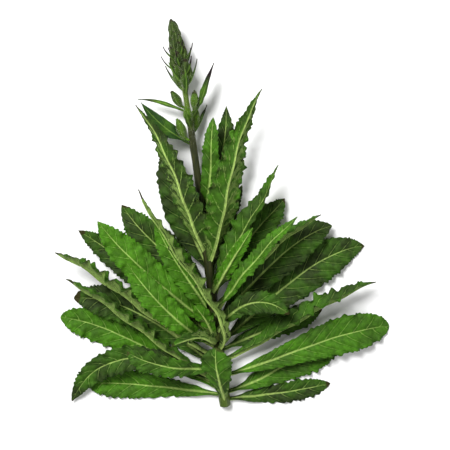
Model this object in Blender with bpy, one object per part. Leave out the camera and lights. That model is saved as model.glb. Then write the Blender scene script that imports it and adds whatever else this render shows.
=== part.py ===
"""Foxglove flower spike in bud, cut at the foot of its stem and laid down on a flat surface.

Frame: metres, +Z up, +Y towards the tip of the spike. The origin is under the middle of the whole
piece, at the height of the surface that it lies on. Each leaf, bract and bud is its own solid, and
meets the stem across a fine gap.
"""

import math
from collections import namedtuple

import bmesh
import bpy
import numpy as np

MM = 0.001
JOIN_GAP = 0.3 * MM  # between the stem and what grows from it

# The stem. Points below are x, y, z in mm from the point of the surface under the cut end.
CUT_END = (0.0, -162.5)  # where that point is in the frame, in mm
STEM_CONTROL = ((0, 0, 4.6), (-13, 108, 9.5), (-20, 216, 15.0), (-42, 326, 18.0))  # of one cubic curve
STEM_LENGTH = 329 * MM
STEM_SOLID_END = 286 * MM  # above this the axis is hidden in the packed buds of the tip
STEM_GIRTH = ((0, 4.6), (60, 4.2), (150, 3.4), (225, 2.8), (262, 2.1), (304, 1.1), (329, 0.6))
STEM_STATIONS = 26
STEM_SIDES = 12

# A leaf: at is mm from the cut end, and bearing is degrees round the stem, 0 to the right and 90 up.
# first and second steer the midrib between the stem and the tip, as control points of a cubic curve.
# A taper of 0.6 ends in a blunt tip and 1.4 in a long point. face is the way that the upper side looks
# once the blade has turned, and fold is how many degrees each half is raised from flat.
Leaf = namedtuple("Leaf", "at bearing first second tip width taper face fold colour")
DEEP, FRESH, PALE = (0.030, 0.110, 0.012), (0.060, 0.180, 0.014), (0.150, 0.230, 0.065)
LEAVES = (
    Leaf(5, 322, (30, 7, 1), (58, 10, 0), (90, 18, 0), 18, 0.8, (0, 0.1, 1), 6, DEEP),
    Leaf(8, 84, (-2, 22, 22), (-10, 40, 30), (-7, 58, 24), 26, 0.7, (0.2, 0.1, -1), 12, PALE),
    Leaf(10, 218, (-36, 12, 1), (-78, 20, 0), (-118, 18, 0), 24, 0.6, (0, 0.1, 1), 6, DEEP),
    Leaf(12, 335, (38, 20, 1), (64, 50, 0), (99, 50, 0), 31, 0.8, (0, 0.1, 1), 6, FRESH),
    Leaf(16, 205, (-45, 34, 1), (-92, 72, 0), (-139, 77, 0), 27, 0.6, (0, 0.1, 1), 6, FRESH),
    Leaf(20, 190, (-40, 46, 14), (-104, 66, 15), (-131, 3, 4), 22, 0.9, (0.2, 0.1, 1), 12, DEEP),
    Leaf(24, 165, (-40, 44, 23), (-92, 96, 26), (-131, 114, 16), 22, 1.0, (0.3, 0.8, 0.0), 38, PALE),
    Leaf(28, 5, (42, 40, 11), (92, 70, 14), (139, 69, 0), 31, 0.6, (0, 0.15, 1), 8, FRESH),
    Leaf(34, 146, (-31, 42, 26), (-52, 42, 42), (-80, 58, 34), 19, 0.7, (0.1, 0, 1), 8, FRESH),
    Leaf(36, 200, (-38, 58, 4), (-82, 100, 7), (-127, 94, 2), 27, 0.7, (0.1, 0.2, 1), 8, DEEP),
    Leaf(42, 20, (34, 60, 18), (80, 96, 23), (124, 113, 18), 25, 1.1, (-0.35, 0.9, 0.3), 45, PALE),
    Leaf(47, 140, (-40, 66, 30), (-94, 122, 40), (-137, 140, 28), 26, 0.8, (0.4, 0.8, -0.1), 36, PALE),
    Leaf(51, 350, (24, 62, 3), (50, 74, 3), (82, 84, 0), 20, 0.8, (0, 0.1, 1), 8, DEEP),
    Leaf(54, 58, (16, 82, 40), (-40, 130, 46), (-68, 194, 42), 23, 1.2, (0.75, 0.5, -0.45), 18, DEEP),
    Leaf(56, 150, (-32, 76, 38), (-58, 104, 44), (-78, 134, 41), 22, 0.9, (0.2, 0.1, 1), 10, FRESH),
    Leaf(58, 340, (28, 80, 5), (70, 136, 6), (116, 139, 1), 35, 0.9, (0, 0.1, 1), 6, DEEP),
    Leaf(60, 108, (-10, 62, 26), (-22, 80, 42), (-44, 64, 40), 15, 1.0, (0.2, 0.5, -1), 14, PALE),
    Leaf(62, 190, (-40, 90, 9), (-85, 132, 9), (-121, 153, 5), 24, 1.0, (0, 0.2, 1), 8, DEEP),
    Leaf(64, 122, (-13, 74, 21), (-16, 87, 31), (-25, 97, 32), 13, 0.9, (0, 0.1, -1), 16, FRESH),
    Leaf(67, 218, (-25, 101, 1), (-42, 126, 1), (-56, 156, 0), 23, 0.8, (0, 0.1, 1), 6, DEEP),
    Leaf(69, 62, (6, 98, 36), (28, 112, 41), (52, 90, 35), 18, 0.9, (0, 0.2, 1), 10, FRESH),
    Leaf(73, 150, (-40, 102, 30), (-80, 136, 34), (-102, 166, 30), 27, 1.0, (0.2, 0.3, 1), 10, FRESH),
    Leaf(74, 312, (15, 99, 1), (31, 122, 0), (37, 150, 0), 24, 0.8, (0, 0.1, 1), 6, DEEP),
    Leaf(78, 352, (20, 105, 13), (54, 152, 15), (88, 158, 10), 31, 0.9, (0, 0.2, 1), 7, DEEP),
    Leaf(81, 145, (-20, 106, 26), (-42, 128, 26), (-56, 164, 26), 20, 0.9, (0.1, 0.2, 1), 10, FRESH),
    Leaf(84, 80, (4, 112, 42), (28, 146, 45), (57, 172, 41), 14, 1.0, (-0.3, 0.5, 0.6), 20, PALE),
    Leaf(90, 40, (12, 116, 27), (46, 156, 33), (77, 171, 30), 24, 1.1, (-0.7, 0.6, 0.1), 36, PALE),
    Leaf(93, 204, (-31, 125, 12), (-64, 144, 18), (-84, 176, 13), 29, 0.9, (0, 0.2, 1), 8, DEEP),
    Leaf(101, 325, (4, 132, 5), (30, 158, 8), (49, 180, 6), 27, 0.9, (0, 0, 1), 8, DEEP),
    Leaf(104, 64, (2, 126, 34), (10, 146, 44), (22, 163, 41), 12, 1.0, (0.3, 0.4, -1), 16, FRESH),
    Leaf(110, 15, (2, 142, 21), (32, 176, 26), (42, 211, 25), 23, 1.3, (-0.7, 0.3, 0.5), 34, PALE),
    Leaf(118, 282, (-6, 148, 0), (2, 162, 0), (14, 190, 0), 13, 0.8, (0, 0, 1), 6, DEEP),
    Leaf(124, 226, (-30, 158, 3), (-45, 185, 0), (-50, 224, 0), 30, 1.0, (0.2, 0, 1), 6, DEEP),
    Leaf(131, 46, (3, 170, 31), (1, 226, 33), (29, 271, 27), 31, 1.4, (-0.5, 0.2, -0.9), 18, PALE),
    Leaf(140, 135, (-34, 174, 28), (-36, 214, 33), (-69.5, 259, 28), 28, 1.4, (0.5, 0.2, -0.9), 18, PALE),
    Leaf(158, 296, (-8, 188, 3), (2, 222, 0), (1, 255, 0), 22, 1.1, (0, 0, 1), 6, DEEP),
    Leaf(172, 12, (-10, 196, 19), (-12, 225, 23), (-9.5, 248, 20), 15, 0.9, (-0.2, 0, 1), 12, FRESH),
)
LEAF_FOOT = 3.2 * MM  # half the width where a leaf meets the stem
LEAF_EDGE = 0.7 * MM  # thickness at the margin
LEAF_RIB = 2.2 * MM  # thickness of the midrib, at the stem
LEAF_GRID = (4, 12)  # across, along

# A floret is a bract with a closed bud above it. Lengths and widths are in mm. The spreads are the
# degrees between the stem and the bract, over each third of its length, and between the stem and the
# bud. face is as for a leaf, and where it is None the bract faces the stem. The lowest florets are set
# singly. Above them the spiral is even.
Floret = namedtuple("Floret", "at bearing bract width spreads face bud bulk bud_spread")
LOW_FLORETS = (
    Floret(230, 178, 52, 12.5, (58, 38, 30), (0.2, 0.2, 1), 20, 7.0, 14),
    Floret(238, 318, 26, 5.0, (52, 38, 36), None, 17, 6.4, 12),
    Floret(244, 94, 20, 5.0, (60, 40, 30), None, 16, 6.8, 22),
    Floret(251, 6, 47, 8.0, (44, 22, 26), (-0.8, 0, 0.6), 19, 6.2, 8),
    Floret(256, 184, 40, 3.6, (62, 60, 84), (0, 0.5, 1), 17, 6.2, 24),
)
SPIRAL_FLORETS = 5
SPIRAL_START = 270  # mm from the cut end
SPIRAL_STEP = 2.8  # mm along the stem
SPIRAL_TURN = 137.5  # degrees round the stem
BRACT_FOOT = 1.1 * MM
BRACT_EDGE = 0.5 * MM
BRACT_RIB = 0.9 * MM
BRACT_GRID = (2, 8)
BUD_RISE = 2.4 * MM  # from the foot of a bract to the foot of its bud, along the stem
BUD_INSET = 0.6 * MM  # more gap, because the stalk's end stands at a slant to the stem
BUD_GIRTH = ((0, 0.26), (0.16, 0.28), (0.28, 0.62), (0.45, 0.96), (0.6, 1.0), (0.8, 0.66), (1, 0.12))
BUD_SIDES = 8

# The tip: young buds packed into one pointed body.
TIP_LENGTH = 42 * MM
TIP_GIRTH = (
    (0, 0.3), (0.07, 1.1), (0.13, 1.9), (0.24, 4.2), (0.4, 5.5), (0.66, 5.1), (0.82, 4), (0.94, 2), (1, 0.3)
)
TIP_LUMPS = 5  # buds seen round it
TIP_LUMP_HEIGHT = 0.12  # as a share of its radius
TIP_TWIST = 9.0  # radians that the rows of buds turn over its length


def unit(v):
    """v, or each row of v, at length 1."""
    return v / np.linalg.norm(v, axis=-1, keepdims=True)


def cubic(control, share):
    """Points at these shares of the cubic curve through four control points."""
    t = np.asarray(share, float)[:, None]
    a, b, c, d = np.asarray(control, float)
    return a * (1 - t) ** 3 + 3 * b * t * (1 - t) ** 2 + 3 * c * t**2 * (1 - t) + d * t**3


def cubic_direction(control, share):
    """Unit directions of that curve at these shares."""
    t = np.asarray(share, float)[:, None]
    a, b, c, d = np.asarray(control, float)
    return unit((b - a) * (1 - t) ** 2 + 2 * (c - b) * t * (1 - t) + (d - c) * t**2)


def in_frame(point):
    """A point given in mm from under the cut end, in the frame's metres."""
    return np.array((point[0] + CUT_END[0], point[1] + CUT_END[1], point[2])) * MM


STEM_CURVE = [in_frame(point) for point in STEM_CONTROL]


def stem_radius(along):
    at, radius = np.array(STEM_GIRTH).T * MM
    return np.interp(along, at, radius)


def stem_frame(along, bearing):
    """Centre, direction and outward direction at a distance along the stem and a bearing round it."""
    share = [along / STEM_LENGTH]
    centre = cubic(STEM_CURVE, share)[0]
    axis = cubic_direction(STEM_CURVE, share)[0]
    right = unit(np.cross(axis, (0, 0, 1)))
    up = np.cross(right, axis)
    angle = math.radians(bearing)
    return centre, axis, math.cos(angle) * right + math.sin(angle) * up


def clear_of_stem(points):
    """The points, with any in the stem or in its gap moved straight out to the edge of the gap."""
    share = np.linspace(0, STEM_SOLID_END / STEM_LENGTH, 300)
    centre = cubic(STEM_CURVE, share)
    nearest = np.linalg.norm(points[:, None] - centre, axis=2).argmin(axis=1)
    axis = cubic_direction(STEM_CURVE, share)[nearest]
    out = points - centre[nearest]
    out -= (out * axis).sum(axis=1)[:, None] * axis
    away = np.linalg.norm(out, axis=1)
    least = stem_radius(share[nearest] * STEM_LENGTH) + JOIN_GAP
    push = np.clip(least - away, 0, None) / np.maximum(away, 0.01 * MM)
    return points + out * push[:, None]


def add(name, data, colour, roughness=0.5):
    """A new object with its own plain material."""
    material = bpy.data.materials.new(name)
    material.use_nodes = True
    shader = material.node_tree.nodes["Principled BSDF"]
    shader.inputs["Base Color"].default_value = (*colour, 1)
    shader.inputs["Roughness"].default_value = roughness
    shader.inputs["Metallic"].default_value = 0
    data.materials.append(material)
    made = bpy.data.objects.new(name, data)
    bpy.context.collection.objects.link(made)
    return made


def add_rod(name, points, radii, sides, colour):
    """A solid rod through the points, with its own radius at each."""
    curve = bpy.data.curves.new(name, "CURVE")
    curve.dimensions = "3D"
    curve.bevel_depth = 1.0
    curve.bevel_resolution = (sides - 4) // 2
    curve.use_fill_caps = True
    spline = curve.splines.new("POLY")
    spline.points.add(len(points) - 1)
    for place, point, radius in zip(spline.points, points, radii):
        place.co = (*point, 1)
        place.radius = radius
    return add(name, curve, colour)


def add_blade(name, midrib, half_width, faces, fold, grid, thickness, colour):
    """A leaf or a bract: a flat slab carried to its place along the midrib's curve.

    half_width(u) is half the width at the share u of the length, and faces(u) is the way that the
    upper side looks there. Both halves rise from the midrib by fold degrees. thickness is that of
    the margin and of the midrib at its foot, and the slab gets thinner away from there.
    """
    slab = bmesh.new()
    bmesh.ops.create_grid(slab, x_segments=grid[0], y_segments=grid[1], size=1)
    copy = bmesh.ops.extrude_face_region(slab, geom=slab.faces[:], use_keep_orig=True)["geom"]
    under_side = [part for part in copy if isinstance(part, bmesh.types.BMVert)]
    bmesh.ops.translate(slab, verts=under_side, vec=(0, 0, -1))
    bmesh.ops.recalc_face_normals(slab, faces=slab.faces[:])
    flat = np.array([vert.co for vert in slab.verts])
    across, along, below = flat[:, 0], (flat[:, 1] + 1) / 2, -flat[:, 2]

    direction = cubic_direction(midrib, along)
    face = faces(along)
    normal = unit(face - (face * direction).sum(axis=1)[:, None] * direction)
    side = np.cross(direction, normal)
    half = half_width(along) * across
    rise = math.radians(fold)
    edge, rib = thickness
    thick = edge + (rib - edge) * (1 - along) * (1 - abs(across)) ** 2
    place = cubic(midrib, along) + side * (half * math.cos(rise))[:, None]
    place += normal * (abs(half) * math.sin(rise) - thick * below)[:, None]
    # What would sink into the surface is pressed flat on it.
    place[:, 2] = np.maximum(place[:, 2], thick * (1 - below))
    place = clear_of_stem(place)

    for vert, point in zip(slab.verts, place):
        vert.co = point
    mesh = bpy.data.meshes.new(name)
    slab.to_mesh(mesh)
    slab.free()
    return add(name, mesh, colour)


def turning(start, end, until):
    """A function for add_blade: the face turns from start to end, and has turned by the share until."""

    def faces(u):
        t = np.clip(u / until, 0, 1)[:, None]
        t = t * t * (3 - 2 * t)
        return unit(np.asarray(start, float)) * (1 - t) + unit(np.asarray(end, float)) * t

    return faces


def lance(half, foot, rise, fall):
    """A function for add_blade: half the width of a lance-shaped blade. Its widest place is at the
    share rise / (rise + fall) of the length."""
    widest = rise / (rise + fall)
    peak = widest**rise * (1 - widest) ** fall
    body = half - foot * (1 - widest)

    def half_width(u):
        width = body * u**rise * (1 - u) ** fall / peak + foot * (1 - u)
        return np.maximum(width, 0.4 * MM)

    return half_width


def add_stem():
    along = np.linspace(0, STEM_SOLID_END, STEM_STATIONS)
    points = cubic(STEM_CURVE, along / STEM_LENGTH)
    add_rod("stem", points, stem_radius(along), STEM_SIDES, (0.030, 0.020, 0.008))


def leaf_rise(at):
    """The power that widens a leaf from its foot. Low leaves narrow to a winged stalk."""
    return 1.8 - 0.8 * min(1, max(0, (at - 50) / 75))


def add_leaf(number, leaf):
    centre, axis, out = stem_frame(leaf.at * MM, leaf.bearing)
    foot = centre + out * (stem_radius(leaf.at * MM) + JOIN_GAP)
    midrib = [foot] + [in_frame(point) for point in (leaf.first, leaf.second, leaf.tip)]
    outline = lance(leaf.width / 2 * MM, LEAF_FOOT, leaf_rise(leaf.at), leaf.taper)
    faces = turning(axis, leaf.face, 0.35)
    thickness = (LEAF_EDGE, LEAF_RIB)
    add_blade(f"leaf_{number:02}", midrib, outline, faces, leaf.fold, LEAF_GRID, thickness, leaf.colour)


def leaning(axis, out, degrees):
    """The stem's direction, leaned outwards."""
    angle = math.radians(degrees)
    return math.cos(angle) * axis + math.sin(angle) * out


def add_floret(number, floret):
    centre, axis, out = stem_frame(floret.at * MM, floret.bearing)
    radius = stem_radius(floret.at * MM) + JOIN_GAP
    foot = centre + out * radius
    third = floret.bract * MM / 3
    midrib = [foot]
    for spread in floret.spreads:
        midrib.append(midrib[-1] + leaning(axis, out, spread) * third)
    outline = lance(floret.width / 2 * MM, BRACT_FOOT, 0.8, 1.1)
    inwards = leaning(axis, -out, 90 - floret.spreads[0])
    faces = turning(inwards, floret.face or inwards, 0.5)
    thickness = (BRACT_EDGE, BRACT_RIB)
    name = f"bract_{number:02}"
    add_blade(name, midrib, outline, faces, 16, BRACT_GRID, thickness, (0.045, 0.130, 0.020))

    centre, axis, out = stem_frame(floret.at * MM + BUD_RISE, floret.bearing)
    line = [centre + out * (radius + BUD_INSET)]
    for share, _ in BUD_GIRTH[1:]:
        lean = 70 + (floret.bud_spread - 70) * min(1, share / 0.3)
        step = (share - BUD_GIRTH[len(line) - 1][0]) * floret.bud * MM
        line.append(line[-1] + leaning(axis, out, lean) * step)
    radii = [girth * floret.bulk / 2 * MM for _, girth in BUD_GIRTH]
    add_rod(f"bud_{number:02}", clear_of_stem(np.array(line)), radii, BUD_SIDES, (0.080, 0.150, 0.035))


def spiral_florets():
    made = []
    for step in range(SPIRAL_FLORETS):
        bearing = (75 + SPIRAL_TURN * step) % 360
        at = SPIRAL_START + SPIRAL_STEP * step
        bract, width, bud, bulk = 26 - 1.1 * step, 3.4 - 0.1 * step, 15 - 0.4 * step, 6.2 - 0.15 * step
        made.append(Floret(at, bearing, bract, width, (56, 24, 16), None, bud, bulk, 12))
    return made


def add_tip():
    ball = bmesh.new()
    bmesh.ops.create_uvsphere(ball, u_segments=15, v_segments=12, radius=1)
    flat = np.array([vert.co for vert in ball.verts])
    share = 1 - np.arccos(np.clip(flat[:, 2], -1, 1)) / math.pi
    angle = np.arctan2(flat[:, 1], flat[:, 0])
    at, girth = np.array(TIP_GIRTH).T
    lump = 1 + TIP_LUMP_HEIGHT * np.cos(TIP_LUMPS * angle + TIP_TWIST * share)
    radius = np.interp(share, at, girth) * MM * lump
    start = STEM_SOLID_END + JOIN_GAP
    centre = cubic(STEM_CURVE, (start + share * TIP_LENGTH) / STEM_LENGTH)
    _, axis, out = stem_frame(start, 0)
    place = centre + radius[:, None] * (
        np.cos(angle)[:, None] * out + np.sin(angle)[:, None] * np.cross(axis, out)
    )
    for vert, point in zip(ball.verts, place):
        vert.co = point
    bmesh.ops.recalc_face_normals(ball, faces=ball.faces[:])
    mesh = bpy.data.meshes.new("spike_tip")
    ball.to_mesh(mesh)
    ball.free()
    add("spike_tip", mesh, (0.075, 0.100, 0.035))


def clear_scene():
    for thing in list(bpy.data.objects):
        bpy.data.objects.remove(thing)


clear_scene()
add_stem()
for number, leaf in enumerate(LEAVES, 1):
    add_leaf(number, leaf)
for number, floret in enumerate([*LOW_FLORETS, *spiral_florets()], 1):
    add_floret(number, floret)
add_tip()
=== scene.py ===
# %% [markdown]
# # A foxglove flower spike in bud
#
# A young foxglove stem has been cut and laid on a pale surface. It carries broad, wrinkled, toothed
# leaves, narrow bracts, and a spike of closed buds that ends in a dense point. This notebook grows
# every one of these from a few formulas.
#
# The solid model of the spike is loaded first, as a fixed frame. It says where each leaf, bract and bud
# sits. The rest of the notebook replaces each plain solid by a fine surface in the same place.

import math
from collections import namedtuple

import bpy
import numpy as np
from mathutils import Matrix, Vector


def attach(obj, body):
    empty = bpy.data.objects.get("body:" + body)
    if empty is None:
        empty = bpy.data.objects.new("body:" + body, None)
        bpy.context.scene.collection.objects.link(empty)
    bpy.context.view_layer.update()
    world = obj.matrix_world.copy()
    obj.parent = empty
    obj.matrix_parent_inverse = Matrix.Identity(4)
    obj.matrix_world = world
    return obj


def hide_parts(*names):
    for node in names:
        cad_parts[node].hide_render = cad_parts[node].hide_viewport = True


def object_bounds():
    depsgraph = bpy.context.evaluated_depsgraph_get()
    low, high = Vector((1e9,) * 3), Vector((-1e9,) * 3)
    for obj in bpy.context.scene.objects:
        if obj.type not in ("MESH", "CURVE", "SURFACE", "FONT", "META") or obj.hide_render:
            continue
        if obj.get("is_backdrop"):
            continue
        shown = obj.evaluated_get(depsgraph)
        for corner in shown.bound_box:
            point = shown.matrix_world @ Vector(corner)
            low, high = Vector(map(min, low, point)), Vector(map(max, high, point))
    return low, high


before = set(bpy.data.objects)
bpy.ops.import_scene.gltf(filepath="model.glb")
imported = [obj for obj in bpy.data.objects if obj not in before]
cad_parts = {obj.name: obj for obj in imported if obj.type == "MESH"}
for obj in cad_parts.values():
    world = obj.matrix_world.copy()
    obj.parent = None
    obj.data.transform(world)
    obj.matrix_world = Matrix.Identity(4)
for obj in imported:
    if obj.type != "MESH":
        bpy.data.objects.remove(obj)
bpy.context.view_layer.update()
print("solid nodes:", len(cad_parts))

# %% [markdown]
# ## Curves and directions
#
# A stem or a midrib is one smooth line. A cubic curve with four control points is enough for each: it
# leaves the first point towards the second and arrives at the last from the third, so it can arch and
# turn its tip. The same curves shaped the solid model, so that each surface here lies in its solid.

# %% Curve tools
MM = 0.001


def unit(v):
    """v, or each row of v, divided by its length."""
    return v / np.linalg.norm(v, axis=-1, keepdims=True)


def dot(a, b):
    """The sum of products over the last axis, kept as a column so that it can scale vectors."""
    return (a * b).sum(axis=-1, keepdims=True)


def smooth(x, low, high):
    """0 below low, 1 above high, and 3t^2 - 2t^3 between, with t the share of the way."""
    t = np.clip((x - low) / (high - low), 0, 1)
    return t * t * (3 - 2 * t)


def cubic(control, share):
    """The four control points weighted by (1-t)^3, 3t(1-t)^2, 3t^2(1-t) and t^3."""
    t = np.asarray(share, float)[..., None]
    a, b, c, d = np.asarray(control, float)
    return a * (1 - t) ** 3 + 3 * b * t * (1 - t) ** 2 + 3 * c * t**2 * (1 - t) + d * t**3


def cubic_direction(control, share):
    """The derivative of that curve, at length 1: the control polygon's legs weighted by
    (1-t)^2, 2t(1-t) and t^2."""
    t = np.asarray(share, float)[..., None]
    a, b, c, d = np.asarray(control, float)
    return unit((b - a) * (1 - t) ** 2 + 2 * (c - b) * t * (1 - t) + (d - c) * t**2)


def curve_length(control):
    """The sum of 200 short chords."""
    points = cubic(control, np.linspace(0, 1, 201))
    return np.linalg.norm(np.diff(points, axis=0), axis=1).sum()


quarter = [(1, 0), (1, 0.5523), (0.5523, 1), (0, 1)]
print("a quarter circle of radius 1 measures", round(curve_length(quarter), 4))

# %% [markdown]
# ## Where everything grows
#
# The tables below are those of the solid model. Points are in millimetres from the spot under the cut
# end of the stem. A bearing is an angle round the stem: 0 degrees is to the right and 90 is up. Each
# leaf has its place along the stem, its bearing, the three further points of its midrib, its width, the
# power with which it tapers to the tip, the way its upper side faces, and how steeply it is folded.

# %% The stem's line and girth
CUT_END = (0.0, -162.5)
STEM_CONTROL = ((0, 0, 4.6), (-13, 108, 9.5), (-20, 216, 15.0), (-42, 326, 18.0))
STEM_LENGTH = 329 * MM
STEM_GIRTH = ((0, 4.6), (60, 4.2), (150, 3.4), (225, 2.8), (262, 2.1), (304, 1.1), (329, 0.6))


def in_frame(point):
    """Millimetres from the cut end become metres in the frame."""
    return np.array((point[0] + CUT_END[0], point[1] + CUT_END[1], point[2])) * MM


STEM_CURVE = [in_frame(point) for point in STEM_CONTROL]


def stem_radius(along):
    """The stem's radius, read between the stations of its girth table."""
    at, radius = np.array(STEM_GIRTH).T * MM
    return np.interp(along, at, radius)


def stem_frame(along, bearing):
    """The centre of the stem, its direction, and the direction straight out of it at a bearing."""
    share = along / STEM_LENGTH
    centre, axis = cubic(STEM_CURVE, share), cubic_direction(STEM_CURVE, share)
    right = unit(np.cross(axis, (0, 0, 1)))
    up = np.cross(right, axis)
    angle = math.radians(bearing)
    return centre, axis, math.cos(angle) * right + math.sin(angle) * up


print("stem curve, mm:", round(1000 * curve_length(STEM_CURVE), 1))

# %% The leaves, from the cut end up
# A tint of 0 is an old deep green blade and 1 a fresh one. The tints also paint light and shade: some
# high ones brighten blades as if light glowed through them, and some low ones darken blades that lie in
# the tuft's shadow. Widths are in mm and folds in degrees.
Leaf = namedtuple("Leaf", "at bearing first second tip width taper face fold tint")
LEAVES = (
    Leaf(5, 322, (30, 7, 1), (58, 10, 0), (90, 18, 0), 18, 0.8, (0, 0.1, 1), 6, 0.2),
    Leaf(8, 84, (-2, 22, 22), (-10, 40, 30), (-7, 58, 24), 26, 0.7, (0.2, 0.1, -1), 12, 0.5),
    Leaf(10, 218, (-36, 12, 1), (-78, 20, 0), (-118, 18, 0), 24, 0.6, (0, 0.1, 1), 6, 0.75),
    Leaf(12, 335, (38, 20, 1), (64, 50, 0), (99, 50, 0), 31, 0.8, (0, 0.1, 1), 6, 0.6),
    Leaf(16, 205, (-45, 34, 1), (-92, 72, 0), (-139, 77, 0), 27, 0.6, (0, 0.1, 1), 6, 0.85),
    Leaf(20, 190, (-40, 46, 14), (-104, 66, 15), (-131, 3, 4), 22, 0.9, (0.2, 0.1, 1), 12, 0.2),
    Leaf(24, 165, (-40, 44, 23), (-92, 96, 26), (-131, 114, 16), 22, 1.0, (0.3, 0.8, 0.0), 38, 0.45),
    Leaf(28, 5, (42, 40, 11), (92, 70, 14), (139, 69, 0), 31, 0.6, (0, 0.15, 1), 8, 0.75),
    Leaf(34, 146, (-31, 42, 26), (-52, 42, 42), (-80, 58, 34), 19, 0.7, (0.1, 0, 1), 8, 0.5),
    Leaf(36, 200, (-38, 58, 4), (-82, 100, 7), (-127, 94, 2), 27, 0.7, (0.1, 0.2, 1), 8, 0.2),
    Leaf(42, 20, (34, 60, 18), (80, 96, 23), (124, 113, 18), 25, 1.1, (-0.35, 0.9, 0.3), 45, 0.4),
    Leaf(47, 140, (-40, 66, 30), (-94, 122, 40), (-137, 140, 28), 26, 0.8, (0.4, 0.8, -0.1), 36, 0.45),
    Leaf(51, 350, (24, 62, 3), (50, 74, 3), (82, 84, 0), 20, 0.8, (0, 0.1, 1), 8, 0.35),
    Leaf(54, 58, (16, 82, 40), (-40, 130, 46), (-68, 194, 42), 23, 1.2, (0.75, 0.5, -0.45), 18, 0.1),
    Leaf(56, 150, (-32, 76, 38), (-58, 104, 44), (-78, 134, 41), 22, 0.9, (0.2, 0.1, 1), 10, 1.0),
    Leaf(58, 340, (28, 80, 5), (70, 136, 6), (116, 139, 1), 35, 0.9, (0, 0.1, 1), 6, 0.2),
    Leaf(60, 108, (-10, 62, 26), (-22, 80, 42), (-44, 64, 40), 15, 1.0, (0.2, 0.5, -1), 14, 0.5),
    Leaf(62, 190, (-40, 90, 9), (-85, 132, 9), (-121, 153, 5), 24, 1.0, (0, 0.2, 1), 8, 0.15),
    Leaf(64, 122, (-13, 74, 21), (-16, 87, 31), (-25, 97, 32), 13, 0.9, (0, 0.1, -1), 16, 1.0),
    Leaf(67, 218, (-25, 101, 1), (-42, 126, 1), (-56, 156, 0), 23, 0.8, (0, 0.1, 1), 6, 0.0),
    Leaf(69, 62, (6, 98, 36), (28, 112, 41), (52, 90, 35), 18, 0.9, (0, 0.2, 1), 10, 0.3),
    Leaf(73, 150, (-40, 102, 30), (-80, 136, 34), (-102, 166, 30), 27, 1.0, (0.2, 0.3, 1), 10, 0.95),
    Leaf(74, 312, (15, 99, 1), (31, 122, 0), (37, 150, 0), 24, 0.8, (0, 0.1, 1), 6, 0.0),
    Leaf(78, 352, (20, 105, 13), (54, 152, 15), (88, 158, 10), 31, 0.9, (0, 0.2, 1), 7, 0.2),
    Leaf(81, 145, (-20, 106, 26), (-42, 128, 26), (-56, 164, 26), 20, 0.9, (0.1, 0.2, 1), 10, 0.9),
    Leaf(84, 80, (4, 112, 42), (28, 146, 45), (57, 172, 41), 14, 1.0, (-0.3, 0.5, 0.6), 20, 0.7),
    Leaf(90, 40, (12, 116, 27), (46, 156, 33), (77, 171, 30), 24, 1.1, (-0.7, 0.6, 0.1), 36, 0.5),
    # Painted shade: this blade's low tint darkens it as if it lay in the tuft's shadow.
    Leaf(93, 204, (-31, 125, 12), (-64, 144, 18), (-84, 176, 13), 29, 0.9, (0, 0.2, 1), 8, 0.3),
    Leaf(101, 325, (4, 132, 5), (30, 158, 8), (49, 180, 6), 27, 0.9, (0, 0, 1), 8, 0.2),
    Leaf(104, 64, (2, 126, 34), (10, 146, 44), (22, 163, 41), 12, 1.0, (0.3, 0.4, -1), 16, 1.0),
    Leaf(110, 15, (2, 142, 21), (32, 176, 26), (42, 211, 25), 23, 1.3, (-0.7, 0.3, 0.5), 34, 0.45),
    Leaf(118, 282, (-6, 148, 0), (2, 162, 0), (14, 190, 0), 13, 0.8, (0, 0, 1), 6, 0.1),
    Leaf(124, 226, (-30, 158, 3), (-45, 185, 0), (-50, 224, 0), 30, 1.0, (0.2, 0, 1), 6, 0.0),
    Leaf(131, 46, (3, 170, 31), (1, 226, 33), (29, 271, 27), 31, 1.4, (-0.5, 0.2, -0.9), 18, 0.5),
    # Painted shade: this blade's low tint darkens it as if it lay in the tuft's shadow.
    Leaf(140, 135, (-34, 174, 28), (-36, 214, 33), (-69.5, 259, 28), 28, 1.4, (0.5, 0.2, -0.9), 18, 0.15),
    Leaf(158, 296, (-8, 188, 3), (2, 222, 0), (1, 255, 0), 22, 1.1, (0, 0, 1), 6, 0.1),
    Leaf(172, 12, (-10, 196, 19), (-12, 225, 23), (-9.5, 248, 20), 15, 0.9, (-0.2, 0, 1), 12, 0.6),
)
print("leaves:", len(LEAVES), "bearings in order:", [leaf.bearing for leaf in LEAVES])

# %% The florets: a bract with a closed bud above it
# The three spreads are the bract's leans from the stem, in degrees, over each third of its length.
Floret = namedtuple("Floret", "at bearing bract width spreads face bud bulk bud_spread")
LOW_FLORETS = (
    Floret(230, 178, 52, 12.5, (58, 38, 30), (0.2, 0.2, 1), 20, 7.0, 14),
    Floret(238, 318, 26, 5.0, (52, 38, 36), None, 17, 6.4, 12),
    Floret(244, 94, 20, 5.0, (60, 40, 30), None, 16, 6.8, 22),
    Floret(251, 6, 47, 8.0, (44, 22, 26), (-0.8, 0, 0.6), 19, 6.2, 8),
    Floret(256, 184, 40, 3.6, (62, 60, 84), (0, 0.5, 1), 17, 6.2, 24),
)
SPIRAL_FLORETS = 5
SPIRAL_START = 270
SPIRAL_STEP = 2.8
SPIRAL_FIRST = 75
SPIRAL_TURN = 137.5


def spiral_bearing(step):
    """The bearing of a floret of the spiral, in degrees: one more turn for each step up."""
    return (SPIRAL_FIRST + SPIRAL_TURN * step) % 360


def spiral_florets():
    """Each floret stands 137.5 degrees round from the one below, and is a little smaller."""
    made = []
    for step in range(SPIRAL_FLORETS):
        at = SPIRAL_START + SPIRAL_STEP * step
        bract, width = 26 - 1.1 * step, 3.4 - 0.1 * step
        bud, bulk = 15 - 0.4 * step, 6.2 - 0.15 * step
        bearing = spiral_bearing(step)
        made.append(Floret(at, bearing, bract, width, (56, 24, 16), None, bud, bulk, 12))
    return made


FLORETS = [*LOW_FLORETS, *spiral_florets()]
print("florets:", len(FLORETS), "from", FLORETS[0].at, "to", round(FLORETS[-1].at, 1), "mm up the stem")

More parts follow.
